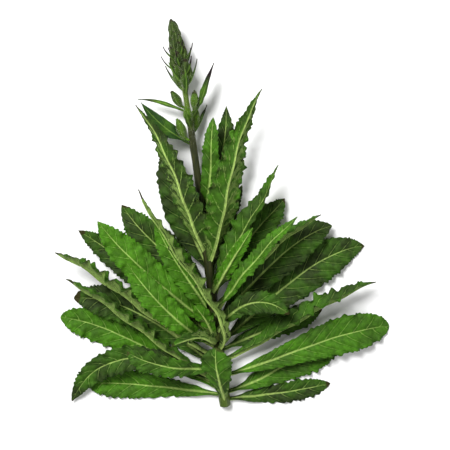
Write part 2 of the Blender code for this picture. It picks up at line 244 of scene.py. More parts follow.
# %% [markdown]
# ## From arrays to meshes
#
# Every surface below is a stack of rings: arrays of points in which ring i, point j has two parameters.
# Quads join each ring to the next, and a small fan closes each end, so that a skin has no hole. Working
# on whole arrays keeps a leaf of ten thousand points as quick as one of ten. Modifiers or sculpting
# could give like shapes, but a formula can be read, and changed by one number.
#
# What a material needs to know, such as how near a point lies to the margin, goes along as attributes.

# %% Skins
Skin = namedtuple("Skin", "points quads tris marks")


def ring_skin(rings, **marks):
    """A closed skin over rings[i, j]. Each mark holds one value or vector a point, in the rings' layout.
    The fan at each end meets in the mean of the end ring."""
    rows, around = rings.shape[:2]

    def with_ends(values):
        """The values row by row, and then the means of the first and last rows."""
        flat = values.reshape((rows * around,) + values.shape[2:])
        return np.concatenate([flat, values[:1].mean(axis=1), values[-1:].mean(axis=1)])

    here = np.arange(around)
    following = (here + 1) % around
    lower = around * np.arange(rows - 1)[:, None]
    upper = lower + around
    quads = np.stack([lower + here, lower + following, upper + following, upper + here], -1)
    first_end, last_end, last = rows * around, rows * around + 1, (rows - 1) * around
    tris = np.concatenate([
        np.stack([np.full(around, first_end), following, here], -1),
        np.stack([np.full(around, last_end), last + here, last + following], -1),
    ])
    kept = {}
    for name, value in marks.items():
        kept[name] = with_ends(np.broadcast_to(value, (rows, around) + value.shape[2:]).astype(float))
    return outwards(Skin(with_ends(rings), quads.reshape(-1, 4), tris, kept))


def over_and_back(above, below):
    """Two layers as one ring a row: over the upper side, and back under the lower side."""
    return np.concatenate([above, below[:, ::-1]], axis=1)


def stack(*values):
    """Arrays that broadcast to one shape, side by side in a new last axis."""
    return np.stack(np.broadcast_arrays(*values), -1)


print("stacked marks of a 4 by 6 grid have the shape", stack(0.0, np.ones((4, 1)), np.ones(6)).shape)


# %% The volume, the facing and the joining of skins
def signed_volume(skin):
    """A sixth of the sum of a . (b x c) over the triangles: positive where they face outwards."""
    triangles = np.concatenate([skin.quads[:, [0, 1, 2]], skin.quads[:, [0, 2, 3]], skin.tris])
    a, b, c = (skin.points[triangles[:, corner]] for corner in range(3))
    return (a * np.cross(b, c)).sum() / 6


def outwards(skin):
    """The skin, with the order of its corners turned round if it faces inwards."""
    if signed_volume(skin) > 0:
        return skin
    return skin._replace(quads=skin.quads[:, ::-1], tris=skin.tris[:, ::-1])


def join(skins):
    """Several skins as one. The corner numbers of each move up by the points before it."""
    offsets = np.cumsum([0] + [len(skin.points) for skin in skins[:-1]])
    return Skin(
        np.concatenate([skin.points for skin in skins]),
        np.concatenate([skin.quads + offset for skin, offset in zip(skins, offsets)]),
        np.concatenate([skin.tris + offset for skin, offset in zip(skins, offsets)]),
        {name: np.concatenate([skin.marks[name] for skin in skins]) for name in skins[0].marks},
    )


angle = np.linspace(0, 2 * np.pi, 64, endpoint=False)
rod = np.stack([np.cos(angle), np.sin(angle), 0 * angle], -1) + np.array([[[0, 0, 0]], [[0, 0, 1]]])
print("a rod of radius 1 and height 1 holds", round(signed_volume(ring_skin(rod)), 3))


# %% Pieces
def triangle_count(skin):
    """Two for a quad and one for a triangle."""
    return 2 * len(skin.quads) + len(skin.tris)


def make_piece(name, skin, material, slot, *nodes):
    """A mesh object from a skin. It rides on the body of the whole spike, and stands for the nodes."""
    mesh = bpy.data.meshes.new(name)
    corners = np.concatenate([skin.quads.ravel(), skin.tris.ravel()]).astype(np.int32)
    quad_starts = 4 * np.arange(len(skin.quads))
    tri_starts = skin.quads.size + 3 * np.arange(len(skin.tris))
    starts = np.concatenate([quad_starts, tri_starts]).astype(np.int32)
    mesh.vertices.add(len(skin.points))
    mesh.vertices.foreach_set("co", skin.points.astype(np.float32).ravel())
    mesh.loops.add(len(corners))
    mesh.loops.foreach_set("vertex_index", corners)
    mesh.polygons.add(len(starts))
    mesh.polygons.foreach_set("loop_start", starts)
    for mark, values in skin.marks.items():
        vector = values.ndim == 2
        kind, field = ("FLOAT_VECTOR", "vector") if vector else ("FLOAT", "value")
        attribute = mesh.attributes.new(mark, kind, "POINT")
        attribute.data.foreach_set(field, values.astype(np.float32).ravel())
    mesh.update(calc_edges=True)
    mesh.validate()
    mesh.shade_smooth()
    mesh.materials.append(material)
    piece = bpy.data.objects.new(name, mesh)
    bpy.context.scene.collection.objects.link(piece)
    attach(piece, "root")
    if nodes:
        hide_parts(*nodes)
    return piece


# %% [markdown]
# ## Materials as node graphs
#
# All green parts share the same biology: a skin over a net of veins. A small helper keeps the node
# graphs short enough to read. It adds a node and fills its inputs from numbers or from other nodes'
# outputs, and each of its sums, mixes and ramps hands back the output that comes next.


# %% A helper for node graphs
class Graph:
    """Adds nodes to one tree and lays them out from left to right."""

    def __init__(self, tree):
        self.tree = tree
        self.count = 0

    def node(self, kind, inputs=(), **settings):
        """A node of a kind, with settings set and inputs filled by name or number."""
        made = self.tree.nodes.new(kind)
        made.location = (180 * (self.count % 12) - 1100, -220 * (self.count // 12))
        self.count += 1
        for name, value in settings.items():
            setattr(made, name, value)
        for name, value in dict(inputs).items():
            self.fill(made.inputs[name], value)
        return made

    def fill(self, socket, value):
        """Links another node's output to a socket, or sets a number or a colour on it."""
        if isinstance(value, bpy.types.NodeSocket):
            self.tree.links.new(value, socket)
        elif isinstance(value, tuple) and len(value) == 3 and socket.type == "RGBA":
            socket.default_value = (*value, 1)
        else:
            socket.default_value = value

    def math(self, operation, a, b=0.0, clamp=False):
        """One sum of a and b, held to 0..1 if clamp is set."""
        made = self.node("ShaderNodeMath", {0: a, 1: b}, operation=operation, use_clamp=clamp)
        return made.outputs[0]

    def mix(self, factor, a, b):
        """Colour a where factor is 0 and colour b where it is 1."""
        made = self.node("ShaderNodeMix", {"Factor": factor}, data_type="RGBA")
        self.fill(made.inputs[6], a)
        self.fill(made.inputs[7], b)
        return made.outputs[2]

    def scaled(self, colour, factor):
        """A colour or vector times a number."""
        made = self.node("ShaderNodeVectorMath", {0: colour, "Scale": factor}, operation="SCALE")
        return made.outputs[0]

    def ramp(self, value, low, high, start=0.0, end=1.0):
        """value carried smoothly from low..high to start..end, and held beyond them."""
        made = self.node("ShaderNodeMapRange", {0: value, 1: low, 2: high, 3: start, 4: end})
        made.interpolation_type = "SMOOTHSTEP"
        return made.outputs[0]

    def noise(self, vector, scale, detail=2.0, roughness=0.5):
        """Cloudy values round 0.5. The scale is about how many clouds lie in a metre."""
        inputs = {"Vector": vector, "Scale": scale, "Detail": detail, "Roughness": roughness}
        return self.node("ShaderNodeTexNoise", inputs).outputs[0]

    def attribute(self, name):
        """The three numbers of a vector attribute, as three outputs."""
        read = self.node("ShaderNodeAttribute", attribute_name=name)
        return self.node("ShaderNodeSeparateXYZ", {0: read.outputs["Vector"]}).outputs

    def value(self, name):
        """The value of an attribute that holds one number a point."""
        return self.node("ShaderNodeAttribute", attribute_name=name).outputs["Fac"]


print("ways to add to a graph:", [name for name in vars(Graph) if not name.startswith("_")])


# %% Materials and colours
def new_material(name, **settings):
    """A material with one Principled shader. The settings are set on the shader's own sockets."""
    material = bpy.data.materials.new(name)
    material.use_nodes = True
    graph = Graph(material.node_tree)
    shader = material.node_tree.nodes["Principled BSDF"]
    for socket, value in settings.items():
        graph.fill(shader.inputs[socket.replace("_", " ")], value)
    return material, graph, shader


def srgb(red, green, blue):
    """A colour as seen on a screen, from 0 to 255, as the linear values that a shader wants."""
    seen = np.array((red, green, blue)) / 255
    linear = np.where(seen <= 0.04045, seen / 12.92, ((seen + 0.055) / 1.055) ** 2.4)
    return tuple(float(part) for part in linear)


print("middle grey 119 is", [round(part, 3) for part in srgb(119, 119, 119)], "in linear light")

# %% [markdown]
# ### The veins of a leaf
#
# A foxglove leaf has one thick midrib, side veins that leave it forwards, and a net between them that
# the blade puffs out of, so it looks quilted. The mesh carries the midrib, the side veins and the
# coarse net as real relief. The fine net is smaller than the mesh, so it is a pattern: the borders of
# Voronoi cells, which is how the meshes of a leaf's net look. Leaves, bracts and sepals share it, so it
# is a group.
#
# Each point of a mesh carries what the group needs:
#
# - veins: a count that is whole midway between side veins, the distance along the midrib, and the
#   distance from it, both in metres.
# - marks: 0 at the midrib to 1 at the margin, 1 on the lower side, and the share of the length.
# - net: 0 on the borders of the coarse net, 1 well inside its meshes.


# %% The group of leaf veins
NET_BEND_SCALE = 420.0  # how fine the bends in the net's lines are, in bends to a metre
NET_BEND = 1.2 * MM  # and how far they push a line
FINE_NET = 0.55  # how strong the fine net is beside the coarse one


def vein_group():
    """Masks for the midrib, the side veins and the net, and a height for bumps. A mask is 1 on the
    middle of its vein and falls to 0 beyond its width."""
    tree = bpy.data.node_groups.new("leaf veins", "ShaderNodeTree")
    for name, default in (("Net Scale", 900.0), ("Rib Width", 0.9 * MM), ("Vein Width", 0.05)):
        socket = tree.interface.new_socket(name, in_out="INPUT", socket_type="NodeSocketFloat")
        socket.default_value = default
    for name in ("Rib", "Side", "Net", "Height"):
        tree.interface.new_socket(name, in_out="OUTPUT", socket_type="NodeSocketFloat")
    graph = Graph(tree)
    given = graph.node("NodeGroupInput").outputs
    count, along, across = graph.attribute("veins")
    margin, _, share = graph.attribute("marks")

    # The distance from the nearest side vein, as a share of the space between two.
    off_vein = graph.math("PINGPONG", graph.math("ADD", count, 0.5), 0.5)
    width = graph.math("MULTIPLY", given["Vein Width"], graph.ramp(margin, 0.0, 1.0, 1.0, 0.4))
    side = graph.ramp(graph.math("DIVIDE", off_vein, width), 0.3, 1.4, 1.0, 0.0)
    side = graph.math("MULTIPLY", side, graph.ramp(margin, 0.6, 1.0, 1.0, 0.2))

    rib_width = graph.math("MULTIPLY", given["Rib Width"], graph.ramp(share, 0.0, 1.0, 1.35, 0.35))
    rib = graph.math("DIVIDE", graph.math("ABSOLUTE", across), rib_width)
    rib = graph.ramp(rib, 0.4, 1.4, 1.0, 0.0)
    rib = graph.math("MULTIPLY", rib, graph.ramp(share, 0.82, 0.98, 1.0, 0.2))

    # The fine net lies flat on the blade: cells over the distances along and across it, a little bent.
    place = graph.node("ShaderNodeCombineXYZ", {0: along, 1: across, 2: 0.0}).outputs[0]
    bend = graph.node("ShaderNodeTexNoise", {"Vector": place, "Scale": NET_BEND_SCALE, "Detail": 1.0})
    bend = graph.scaled(bend.outputs["Color"], NET_BEND)
    place = graph.node("ShaderNodeVectorMath", {0: place, 1: bend}, operation="ADD").outputs[0]
    cell = graph.node("ShaderNodeTexVoronoi", {"Vector": place, "Scale": given["Net Scale"]})
    cell.voronoi_dimensions = "2D"
    cell.feature = "DISTANCE_TO_EDGE"
    fine = cell.outputs["Distance"]
    coarse = graph.value("net")
    net = graph.math("MULTIPLY", graph.ramp(fine, 0.0, 0.2, 1.0, 0.0), FINE_NET)
    net = graph.math("MAXIMUM", net, graph.ramp(coarse, 0.0, 0.55, 1.0, 0.0))

    # Between the veins the skin puffs up, and over the midrib it is smooth.
    height = graph.math("MULTIPLY", graph.ramp(fine, 0.0, 0.4), graph.ramp(coarse, 0.0, 0.8, 0.3, 1.0))
    height = graph.math("MULTIPLY", height, graph.math("SUBTRACT", 1.0, rib))
    graph.node("NodeGroupOutput", {"Rib": rib, "Side": side, "Net": net, "Height": height})
    return tree


VEINS = vein_group()
print("the vein group has", len(VEINS.nodes), "nodes")


# %% [markdown]
# ### Leaf, bract and bud skins
#
# Seen from above a foxglove leaf is a deep green, lighter where it is young, with a pale midrib and
# sunken veins. Its underside is grey-green with a light, raised net. It is dull rather than glossy, and
# the downy buds have a faint sheen. Bracts and sepals are the same tissue, darkened to a purple-brown
# at the tip. Old leaves are browned at the very tip. The green of each blade also paints light and
# shade: some of the brightest blades stand for leaves glowing in the light, and some of the darkest
# for leaves in shadow deep in the tuft. One function builds all of these from a few colours.


# %% Green tissue
# How strongly each kind of vein takes the veins' colour, on the upper and on the lower side.
VEINS_ABOVE = {"Net": 0.06, "Side": 0.3, "Rib": 0.6}
VEINS_BELOW = {"Net": 0.3, "Side": 0.7, "Rib": 0.95}
BUMP_DEPTH = 0.5 * MM


def green_tissue(name, tip_from, rib_width, net_scale, roughness, sheen=0.0, **colours):
    """Green skin: upper and fresh are mixed by the tint, under is the lower side, vein is the colour of
    the veins, and the point takes the colour tip beyond the share tip_from of the length."""
    material, graph, shader = new_material(
        name,
        Sheen_Weight=sheen,
        Sheen_Roughness=0.4,
        Sheen_Tint=(0.85, 0.95, 0.7),
        Specular_IOR_Level=0.1,
    )
    colours = {part: srgb(*colour) for part, colour in colours.items()}
    veins = graph.node("ShaderNodeGroup", node_tree=VEINS)
    veins.inputs["Net Scale"].default_value = net_scale
    veins.inputs["Rib Width"].default_value = rib_width
    margin, below, share = graph.attribute("marks")
    place = graph.node("ShaderNodeTexCoord").outputs["Object"]
    cloud = graph.noise(place, 60.0, 3.0)
    patch = graph.noise(place, 330.0, 2.0)
    speck = graph.noise(place, 1500.0, 2.0)

    def with_veins(colour, strengths):
        """The colour, covered by each kind of vein at its strength."""
        for kind, strength in strengths.items():
            cover = graph.math("MULTIPLY", veins.outputs[kind], strength)
            colour = graph.mix(cover, colour, colours["vein"])
        return colour

    # The upper side is mixed by the tint, in clouds. The lower side goes greener at the margin.
    drift = graph.ramp(cloud, 0.3, 0.7, -0.3, 0.3)
    tint = graph.math("ADD", graph.value("tint"), drift, clamp=True)
    above = with_veins(graph.mix(tint, colours["upper"], colours["fresh"]), VEINS_ABOVE)
    beneath = with_veins(colours["under"], VEINS_BELOW)
    beneath = graph.mix(graph.ramp(margin, 0.8, 1.0, 0.0, 0.6), beneath, colours["upper"])
    colour = graph.mix(below, above, beneath)

    # Patches and specks vary the shade, and age darkens the tip: the fresher the blade, the less.
    patches, specks = graph.ramp(patch, 0.3, 0.7, 0.8, 1.15), graph.ramp(speck, 0.3, 0.7, 0.8, 1.1)
    colour = graph.scaled(colour, graph.math("MULTIPLY", patches, specks))
    far = graph.math("ADD", share, graph.ramp(cloud, 0.3, 0.7, -0.04, 0.04))
    far = graph.ramp(far, tip_from, (1 + tip_from) / 2)
    age = graph.ramp(graph.value("tint"), 0.3, 0.9, 1.0, 0.1)
    colour = graph.mix(graph.math("MULTIPLY", far, age), colour, colours["tip"])
    graph.fill(shader.inputs["Base Color"], colour)

    # The puffed skin between the veins is smoother than the veins.
    height = veins.outputs["Height"]
    rough = graph.ramp(height, 0.0, 1.0, roughness + 0.12, roughness - 0.08)
    graph.fill(shader.inputs["Roughness"], rough)
    bump = graph.node("ShaderNodeBump", {"Height": height, "Distance": BUMP_DEPTH, "Strength": 0.8})
    graph.fill(shader.inputs["Normal"], bump.outputs[0])
    return material


print("the ribs take", VEINS_ABOVE["Rib"], "of their colour above and", VEINS_BELOW["Rib"], "below")

# %% [markdown]
# The five green finishes differ in their colours, in how far down the dark tip reaches, and in the size
# of their veins. The thinner the tissue, the finer its net. Two of them are for bracts: those that
# are like leaves are dark only at the very tip, and so are those that stand on top of the stem, facing
# the lamps, where the fresh tip is painted light.

# %% The five green finishes
# The leaf's deepest upper green is partly painted shade, and its fresh green partly painted light.
LEAF = green_tissue(
    "leaf", tip_from=0.975, rib_width=0.9 * MM, net_scale=900.0, roughness=0.5,
    upper=(6, 30, 3), fresh=(52, 106, 0), under=(80, 110, 44), vein=(164, 190, 102), tip=(46, 44, 16),
)
LEAFY_OR_LIT_BRACT = green_tissue(
    "leafy or lit bract", tip_from=0.97, rib_width=0.5 * MM, net_scale=1100.0, roughness=0.45,
    upper=(26, 56, 20), fresh=(72, 112, 18), under=(56, 82, 30), vein=(110, 142, 60), tip=(34, 26, 22),
)
BRACT = green_tissue(
    "bract", tip_from=0.55, rib_width=0.5 * MM, net_scale=1100.0, roughness=0.45,
    upper=(30, 58, 20), fresh=(82, 122, 16), under=(56, 82, 30), vein=(110, 142, 60), tip=(32, 22, 24),
)
BUD = green_tissue(
    "bud", tip_from=0.86, rib_width=0.3 * MM, net_scale=1300.0, roughness=0.55, sheen=0.05,
    upper=(50, 72, 22), fresh=(82, 118, 28), under=(66, 84, 38), vein=(112, 130, 74), tip=(46, 44, 24),
)
YOUNG_BUD = green_tissue(
    "young bud", tip_from=0.8, rib_width=0.3 * MM, net_scale=1300.0, roughness=0.6, sheen=0.08,
    upper=(46, 64, 22), fresh=(78, 104, 36), under=(60, 80, 34), vein=(112, 128, 78), tip=(42, 40, 22),
)
GREENS = (LEAF, LEAFY_OR_LIT_BRACT, BRACT, BUD, YOUNG_BUD)
print("nodes in each green finish:", [len(finish.node_tree.nodes) for finish in GREENS])

# %% [markdown]
# ## The leaves
#
# A leaf is a thin closed shell. Its grid follows the way a real leaf is built: each row of points runs
# along a side vein, out from the midrib and forwards to the margin. So the side veins, the quilting
# between them and the teeth at their ends all fall on rows, and come out crisp with few points.
#
# - The outline is a power curve in the share of the length: it rises from a narrow winged foot and
#   falls to the tip, blunt or long-pointed.
# - The teeth are a skewed sine, pointing forwards, a little different from tooth to tooth.
# - The cross-section is a soft valley, bent down again at the margin, and the margin waves.
# - Above, the midrib and side veins are grooves. Below, they stand out as ribs.

# %% The outline and the turn of a blade
THINNEST = 0.35 * MM


def lance(half, foot, rise, fall, tip=0.0):
    """Half the width over the length: u^rise (1-u)^fall, scaled so that its peak is half, on a foot that
    thins out evenly. A small round lobe, (1-u)^0.5 near the end, keeps the tip from being a needle."""
    widest = rise / (rise + fall)
    peak = widest**rise * (1 - widest) ** fall
    body = half - foot * (1 - widest)

    def half_width(u):
        u = np.clip(u, 0, 1)
        lobe = tip * np.sqrt(1 - u) * smooth(u, 0.6, 0.95)
        swell = body * u**rise * (1 - u) ** fall / peak
        return np.maximum(swell + foot * (1 - u) + lobe, THINNEST)

    return half_width


def turning(start, end, until):
    """The way the upper side looks: from start at the foot to end at the share until and beyond."""

    def faces(u):
        t = smooth(u, 0, until)[..., None]
        return unit(np.asarray(start, float)) * (1 - t) + unit(np.asarray(end, float)) * t

    return faces


sample_widths = lance(15, 3, 1.6, 0.7)(np.linspace(0, 1, 6))
print("half widths of a sample blade, mm:", sample_widths.round(1))


# %% A net of cells, for the quilting
SEED_SQUARES = 200


def mesh_depth(p, q, rng):
    """How far inside its mesh of a net each point lies, from 0 on the border. One seed is scattered in
    each unit square of (p, q). The depth is the distance to the second nearest seed, less that to the
    nearest. Those two lie in the point's own square or in the eight round it."""
    seeds = rng.uniform(0.12, 0.88, (2, SEED_SQUARES, SEED_SQUARES))
    distances = []
    for step_p, step_q in np.ndindex(3, 3):
        column = np.floor(p).astype(int) + step_p - 1
        line = np.floor(q).astype(int) + step_q - 1
        seed = seeds[:, column % SEED_SQUARES, line % SEED_SQUARES]
        distances.append(np.hypot(column + seed[0] - p, line + seed[1] - q))
    nearest = np.sort(distances, axis=0)
    return nearest[1] - nearest[0]


across_net = np.linspace(0, 20, 200)
depth = mesh_depth(*np.meshgrid(across_net, across_net), np.random.default_rng(0))
print("share of a net that lies within 0.1 of a border:", round((depth < 0.1).mean(), 2))


# %% Teeth and waves
# A finish says how strong the teeth, in mm, the waves and the quilting are, and how thick the midrib is.
Finish = namedtuple("Finish", "tooth ruffle quilt rib")
LEAF_FINISH = Finish(tooth=1.7, ruffle=1.0, quilt=1.0, rib=2.2 * MM)
TOOTH_PITCH = 5.0 * MM
TOOTH_ROWS = 6
RUFFLES = (12 * MM, 7.3 * MM)  # the lengths of a long and a short wave along the margin
ROLL = 38 * MM


def toothed(t, right, teeth, rng):
    """How far the margin stands out. A tooth is sin(pi s^1.4) over its own length s, so it points
    forwards. Each has its own size, and a slow drift makes their pitch uneven."""
    drift = np.where(right, *rng.uniform(0, 2 * np.pi, 2))
    count = t * teeth + 0.45 * np.sin(0.9 * teeth * t + drift) + 0.5 * right + 1
    sizes = rng.uniform(0.25, 1.35, (2, teeth + 6))
    size = sizes[right, np.floor(count).astype(int)]
    return np.sin(np.pi * (count % 1) ** 1.4) * size - 0.4


def waves(u, v, right, half, length, rng):
    """Ruffles of the margin that grow with |v|^2.4, and apart from them a slow roll of the whole blade
    with a twist. Each is a sine in the distance along the midrib, from a random start."""
    phase = rng.uniform(0, 2 * np.pi, 6)
    turns = 2 * np.pi * u * length
    margin = np.sin(turns / RUFFLES[0] + phase[0] + 1.9 * right)
    margin = margin + 0.6 * np.sin(turns / RUFFLES[1] + phase[1] + 2.6 * right)
    grown = smooth(u, 0.06, 0.35)
    ruffle = 0.11 * half * abs(v) ** 2.4 * margin * (1 + 0.4 * np.sin(9 * u + phase[2]))
    roll = 0.8 * MM * np.sin(turns / ROLL + phase[3])
    twist = 0.09 * half * v * np.sin(5 * u + phase[4])
    return ruffle * grown, (roll + twist) * grown


margin_shares = np.linspace(0, 1, 400)[:, None]
stand = toothed(margin_shares, np.zeros((400, 1), int), 20, np.random.default_rng(0))
print("twenty teeth stand out from", stand.min().round(2), "to", stand.max().round(2))

# %% [markdown]
# The relief of the blade comes next: what its veins and its quilting add to the two sides. A bump in
# the material could show as much from afar, but it leaves the outline and the deep shadows flat. So all
# that is wider than a millimetre is real shape here, and only the fine net is left to the material.

# %% Veins and quilting as relief
VEIN_SPACE = 12 * MM
NET_MESH = (3.6 * MM, 2.9 * MM)  # a mesh of the coarse net, along and across the blade
NET_OFFSET = 50  # keeps both halves of a blade on the positive side of the net
NET_PUFF, VEIN_PUFF = 0.6 * MM, 1.0 * MM
GROOVE, SIDE_RIB, THICKNESS = 0.5 * MM, 0.4 * MM, 0.4 * MM


def coarse_net(u, x, length, between, rng):
    """0 on the borders of the net's meshes and 1 inside them. It fades out over the side veins."""
    inside = mesh_depth(u * length / NET_MESH[0], x / NET_MESH[1] + NET_OFFSET, rng)
    return np.clip(inside / 0.5, 0, 1) * (1 - np.exp(-(((1 - between) / 0.9) ** 8)))


def relief(u, v, x, between, net, broad, finish):
    """What the quilting and the veins add to the upper and to the lower side. The skin puffs up inside
    each mesh and midway between side veins. The midrib is a groove above and a rib below, each a bell
    curve in the distance from it."""
    puff = NET_PUFF * smooth(net, 0, 1) + VEIN_PUFF * between**0.6 * smooth(abs(v), 0.02, 0.3)
    puff = finish.quilt * puff * broad * (1 - 0.5 * abs(v) ** 6)
    thin = 1 - 0.75 * u
    groove = GROOVE * finish.quilt * thin * np.exp(-((x / (1.0 * MM * thin)) ** 2))
    side_rib = SIDE_RIB * finish.quilt * (1 - between) ** 6 * smooth(abs(v), 0, 0.1)
    side_rib = side_rib * (1 - 0.8 * abs(v)) * thin
    rib_height = finish.rib * 0.75 * (1 - u) ** 0.8 + 0.3 * MM
    rib = rib_height * np.exp(-((x / (finish.rib * 0.6 * (1 - 0.6 * u))) ** 2))
    return puff - groove, 0.85 * puff - THICKNESS - side_rib - rib


over_rib = relief(0.2, 0.0, 0.0, 0.5, 0.0, 1.0, LEAF_FINISH)
print("relief on a leaf's midrib, above and below, mm:", [round(1000 * side, 2) for side in over_rib])

# %% A blade as a closed shell
LEAF_COLUMNS = 31
VALLEY = 0.8 * MM
FLOOR_GAP, PRESSED = 0.05 * MM, 0.25 * MM


def blade_skin(midrib, half_width, faces, fold, tint, seed, finish=LEAF_FINISH, columns=LEAF_COLUMNS):
    """A closed shell along a midrib curve.

    Row t and column v (-1 to 1) have the share u = t + lean |v|^1.2 along the midrib, so rows run
    steeply forwards. The point is midrib(u) + side * x + normal * z. x is v times half the width plus the
    teeth. z is the fold plus the waves, plus what the relief adds to the upper or to the lower side.
    """
    rng = np.random.default_rng(seed)
    length = curve_length(midrib)
    teeth = max(3, round(length / TOOTH_PITCH))
    t = np.linspace(0, 1, teeth * TOOTH_ROWS + 1)[:, None]
    s = np.linspace(-1, 1, columns)[None, :]
    v = s * (0.75 + 0.25 * abs(s))
    right = (v > 0).astype(int)

    widest = half_width(np.linspace(0, 1, 60)).max()
    lean = min(5.6 * widest / length, 0.8) * t * (1 - t)
    u = t + lean * abs(v) ** 1.2
    half = half_width(t + lean)
    broad = np.clip(half / (8 * MM), 0, 1)
    bite = toothed(t, right, teeth, rng) * smooth(t, 0.08, 0.3) * (1 - 0.5 * smooth(t, 0.8, 1))
    x = v * half + np.sign(v) * smooth(abs(v), 0.6, 1) ** 1.5 * bite * finish.tooth * MM * broad

    # The two halves of the blade rise from the midrib as a rounded valley.
    rise = math.radians(fold)
    z = math.sin(rise) * (np.sqrt(x**2 + VALLEY**2) - VALLEY) * (1 - 0.25 * v**2)
    ruffle, roll = waves(u, v, right, half, length, rng)
    z = z + finish.ruffle * ruffle + roll * min(1, finish.ruffle)

    # The count of side veins is whole midway between two of them.
    count = t * length / VEIN_SPACE + 0.5 * right + 0.05 * np.sin(5 * v)
    between = np.cos(2 * np.pi * count) * 0.5 + 0.5
    net = coarse_net(u, x, length, between, rng)
    above, beneath = relief(u, v, x, between, net, broad, finish)

    centre, direction = cubic(midrib, u), cubic_direction(midrib, u)
    face = faces(u)
    normal = unit(face - dot(face, direction) * direction)
    side = np.cross(direction, normal)
    base = centre + side * (x * math.cos(rise))[..., None]
    upper = base + normal * (z + above)[..., None]
    lower = base + normal * (z + beneath)[..., None]
    # Where the blade meets the surface that the spike lies on, it is pressed flat.
    lower[..., 2] = np.maximum(lower[..., 2], FLOOR_GAP)
    upper[..., 2] = np.maximum(upper[..., 2], lower[..., 2] + PRESSED)

    veins = stack(count, u * length, x)
    return ring_skin(
        over_and_back(upper, lower),
        veins=over_and_back(veins, veins),
        marks=over_and_back(stack(abs(v), 0.0, u), stack(abs(v), 1.0, u)),
        net=over_and_back(net, net),
        tint=np.full((len(t), 2 * columns), tint),
    )


sample_midrib = [(0, 0, 0.02), (0, 0.03, 0.03), (0, 0.07, 0.03), (0, 0.1, 0.02)]
upwards = turning((0, 0, 1), (0, 0, 1), 1)
sample = blade_skin(sample_midrib, lance(0.014, 0.003, 1, 0.9), upwards, 8, 0.5, 1)
print("a leaf of 10 cm has", triangle_count(sample), "triangles")
print("and holds", round(signed_volume(sample) * 1e6, 2), "ml")

# %% [markdown]
# Now each leaf of the table is grown. Its first midrib point lies a little inside the stem, so that no
# gap shows. The blade leaves the stem with its upper side towards the tip of the spike, as all leaves
# do, and has turned to its own face by a third of its length.


# %% Grow the leaves
LEAF_FOOT, LEAF_LOBE, LEAF_INSET = 3.2 * MM, 2.4 * MM, 1.0 * MM
NARROW_LEAF, NARROW_COLUMNS = 18, 23
FOLDED, FOLDED_CRISP = 13, 1.35  # leaves folded by more degrees than this are crisper at the margin


def leaf_rise(at):
    """Low leaves narrow to a winged stalk, and high ones sit broad on the stem: the power of the outline
    falls from 1.8 to 1 between 50 and 125 mm up."""
    return 1.8 - 0.8 * min(1, max(0, (at - 50) / 75))


def grow_leaf(number, leaf):
    """One leaf of the table as a piece. It returns the leaf's count of triangles."""
    centre, axis, out = stem_frame(leaf.at * MM, leaf.bearing)
    foot = centre + out * (stem_radius(leaf.at * MM) - LEAF_INSET)
    midrib = [foot] + [in_frame(point) for point in (leaf.first, leaf.second, leaf.tip)]
    outline = lance(leaf.width / 2 * MM, LEAF_FOOT, leaf_rise(leaf.at), leaf.taper, LEAF_LOBE)
    faces = turning(axis, leaf.face, 0.35)
    columns = LEAF_COLUMNS if leaf.width > NARROW_LEAF else NARROW_COLUMNS
    crisp = FOLDED_CRISP if leaf.fold > FOLDED else 1.0
    finish = LEAF_FINISH._replace(ruffle=crisp, tooth=LEAF_FINISH.tooth * crisp)
    skin = blade_skin(midrib, outline, faces, leaf.fold, leaf.tint, number, finish, columns)
    make_piece(f"leaf_blade_{number:02}", skin, LEAF, "leaf", f"leaf_{number:02}")
    return triangle_count(skin)


leaf_triangles = [grow_leaf(number, leaf) for number, leaf in enumerate(LEAVES, 1)]
print("leaf triangles:", sum(leaf_triangles), "most in one leaf:", max(leaf_triangles))

# %% [markdown]
# ## The bracts
#
# A bract is a leaf that has given up its width to the bud it carries. It is smooth-edged and almost
# plain, so the blade function serves with no teeth and little relief. The lowest one is still leaf-like.


# %% Grow the bracts
BRACT_FOOT, BRACT_INSET = 1.1 * MM, 0.3 * MM
BROAD_BRACT = 7
# Bract 1 is leaf-like. Bract 3 faces the lamps from the top of the stem, and its fresh tip is painted
# light.
LEAFY_OR_LIT_BRACTS = (1, 3)


def leaning(axis, out, degrees):
    """The stem's direction, leaned outwards by an angle."""
    angle = math.radians(degrees)
    return math.cos(angle) * axis + math.sin(angle) * out


def leaned_midrib(foot, axis, out, spreads, length):
    """Legs of equal length, each at its own lean from the stem."""
    midrib = [foot]
    for spread in spreads:
        midrib.append(midrib[-1] + leaning(axis, out, spread) * length / len(spreads))
    return midrib


def grow_bract(number, floret):
    """One bract as a piece. Its upper side looks at the stem, and it keeps its fresh colour at the tip
    if it is leaf-like. A bract that stands on top of the stem faces the lamps, and its fresh tip is
    painted light."""
    centre, axis, out = stem_frame(floret.at * MM, floret.bearing)
    foot = centre + out * (stem_radius(floret.at * MM) - BRACT_INSET)
    midrib = leaned_midrib(foot, axis, out, floret.spreads, floret.bract * MM)
    inwards = leaning(axis, -out, 90 - floret.spreads[0])
    outline = lance(floret.width / 2 * MM, BRACT_FOOT, 0.8, 1.1)
    faces = turning(inwards, floret.face or inwards, 0.5)
    if floret.width > BROAD_BRACT:
        quilt, columns, tint = 0.4, 19, 0.1
    else:
        quilt, columns, tint = 0.15, 11, 0.5
    finish = Finish(tooth=0.2, ruffle=0.5, quilt=quilt, rib=0.9 * MM)
    skin = blade_skin(midrib, outline, faces, 16, tint, 100 + number, finish, columns)
    # Bracts on top of the stem face the lamps, and their lighter tip is painted light.
    material = LEAFY_OR_LIT_BRACT if number in LEAFY_OR_LIT_BRACTS or out[2] > 0.7 else BRACT
    make_piece(f"bract_blade_{number:02}", skin, material, "bract", f"bract_{number:02}")
    return triangle_count(skin)


